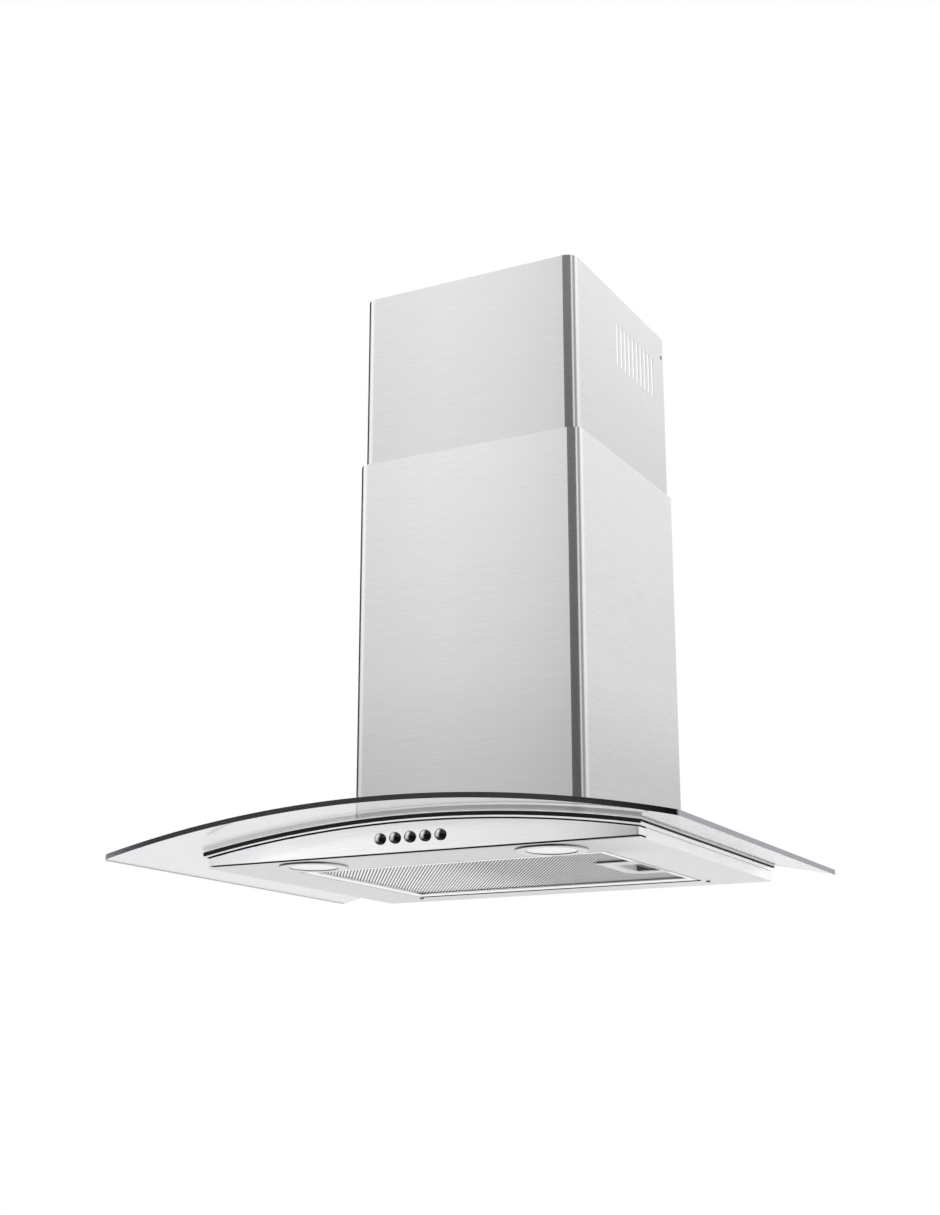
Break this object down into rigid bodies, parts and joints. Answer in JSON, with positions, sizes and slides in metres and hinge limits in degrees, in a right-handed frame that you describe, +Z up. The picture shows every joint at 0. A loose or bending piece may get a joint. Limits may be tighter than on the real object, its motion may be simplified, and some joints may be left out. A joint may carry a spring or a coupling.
{
  "type": "wall chimney range hood",
  "caption": "Wall-mounted kitchen range hood: a shallow brushed steel body with push buttons and a grease filter, an arched glass canopy and a telescopic chimney.",
  "frame": {"origin": "on the wall plane, midway between the two hanging holes", "axes": "+X to the right seen from the front, +Y into the wall, +Z up"},
  "size_m": [0.6, 0.444, 0.6426],
  "materials": {
    "brushed_steel": "fine brushed stainless steel",
    "rim_steel": "bright smooth stainless steel",
    "canopy_glass": "clear toughened glass, polished edges",
    "black_rubber": "matt black rubber",
    "button_chrome": "polished chrome",
    "bezel_steel": "satin turned steel",
    "lamp_glass": "frosted glass",
    "lamp_aluminium": "die-cast aluminium",
    "filter_aluminium": "expanded aluminium mesh in a folded frame",
    "tray_plastic": "satin grey moulded plastic",
    "dark_plastic": "fine grained black moulded plastic",
    "casing_plastic": "dark grey moulded plastic",
    "case_plastic": "light grey moulded plastic",
    "zinc_sheet": "galvanised sheet",
    "screw_steel": "zinc plated steel",
    "motor_paint": "dark painted motor can",
    "capacitor_can": "pale moulded can"
  },
  "bodies": {
    "hood": {"body_shell": "brushed_steel", "front_fascia": "brushed_steel", "glass_support": "rim_steel", "glass_seal": "black_rubber", "glass_canopy": "canopy_glass", "glass_clips": "zinc_sheet", "clip_pads": "black_rubber", "clip_screws": "screw_steel", "switch_block": "dark_plastic", "switch_bracket": "zinc_sheet", "rear_rail": "dark_plastic", "rail_screws": "screw_steel", "blower_box": "zinc_sheet", "foot_screws": "screw_steel", "hanging_plate": "zinc_sheet", "plate_screws": "screw_steel", "casing_right": "casing_plastic", "casing_left": "casing_plastic", "inlet_rings": "casing_plastic", "outlet_screws": "screw_steel", "motor": "motor_paint", "motor_grommets": "black_rubber", "motor_bracket": "zinc_sheet", "bracket_screws": "screw_steel", "run_capacitor": "capacitor_can", "capacitor_clip": "zinc_sheet", "outlet_collar": "dark_plastic", "damper_pin": "screw_steel", "terminal_box": "case_plastic", "terminal_lid": "case_plastic", "cable_gland": "dark_plastic", "lamp_driver": "case_plastic", "lower_cover": "brushed_steel", "cover_brackets": "zinc_sheet", "lamp_bezel_left": "bezel_steel", "lamp_lens_left": "lamp_glass", "lamp_body_left": "lamp_aluminium", "lamp_bezel_right": "bezel_steel", "lamp_lens_right": "lamp_glass", "lamp_body_right": "lamp_aluminium"},
    "upper_chimney": {"upper_cover": "brushed_steel", "upper_brackets": "zinc_sheet"},
    "filter": {"filter_frame": "filter_aluminium", "filter_mesh": "filter_aluminium", "filter_core": "filter_aluminium", "filter_back_mesh": "filter_aluminium", "filter_tray": "tray_plastic"},
    "latch": {"filter_latch": "dark_plastic"},
    "wheel": {"blower_wheel": "casing_plastic", "motor_shaft": "screw_steel"},
    "flap_front": {"damper_flap_front": "dark_plastic"},
    "flap_back": {"damper_flap_back": "dark_plastic"},
    "push_button_1": {"button_1": "button_chrome"},
    "push_button_2": {"button_2": "button_chrome"},
    "push_button_3": {"button_3": "button_chrome"},
    "push_button_4": {"button_4": "button_chrome"},
    "push_button_5": {"button_5": "button_chrome"}
  },
  "joints": [
    {"name": "chimney_slide", "type": "slide", "parent": "hood", "child": "upper_chimney", "axis": [0, 0, 1], "range_m": [-0.185, 0.14]},
    {"name": "filter_swing", "type": "hinge", "parent": "hood", "child": "filter", "pos_m": [-0.167, -0.17, -0.25868], "axis": [0, 1, 0], "range_deg": [0, 70]},
    {"name": "latch_slide", "type": "slide", "parent": "filter", "child": "latch", "axis": [1, 0, 0], "range_m": [0, 0.004]},
    {"name": "wheel_spin", "type": "hinge", "parent": "hood", "child": "wheel", "pos_m": [0, -0.14962, -0.1139], "axis": [1, 0, 0], "continuous": true},
    {"name": "flap_front_swing", "type": "hinge", "parent": "hood", "child": "flap_front", "pos_m": [0, -0.0878, 0.05755], "axis": [-1, 0, 0], "range_deg": [0, 75]},
    {"name": "flap_back_swing", "type": "hinge", "parent": "hood", "child": "flap_back", "pos_m": [0, -0.0878, 0.05755], "axis": [1, 0, 0], "range_deg": [0, 75]},
    {"name": "button_1_press", "type": "slide", "parent": "hood", "child": "push_button_1", "axis": [0, 1, 0], "range_m": [0, 0.003], "stiffness_N_per_m": 500},
    {"name": "button_2_press", "type": "slide", "parent": "hood", "child": "push_button_2", "axis": [0, 1, 0], "range_m": [0, 0.003], "stiffness_N_per_m": 500},
    {"name": "button_3_press", "type": "slide", "parent": "hood", "child": "push_button_3", "axis": [0, 1, 0], "range_m": [0, 0.003], "stiffness_N_per_m": 500},
    {"name": "button_4_press", "type": "slide", "parent": "hood", "child": "push_button_4", "axis": [0, 1, 0], "range_m": [0, 0.003], "stiffness_N_per_m": 500},
    {"name": "button_5_press", "type": "slide", "parent": "hood", "child": "push_button_5", "axis": [0, 1, 0], "range_m": [0, 0.003], "stiffness_N_per_m": 500}
  ]
}
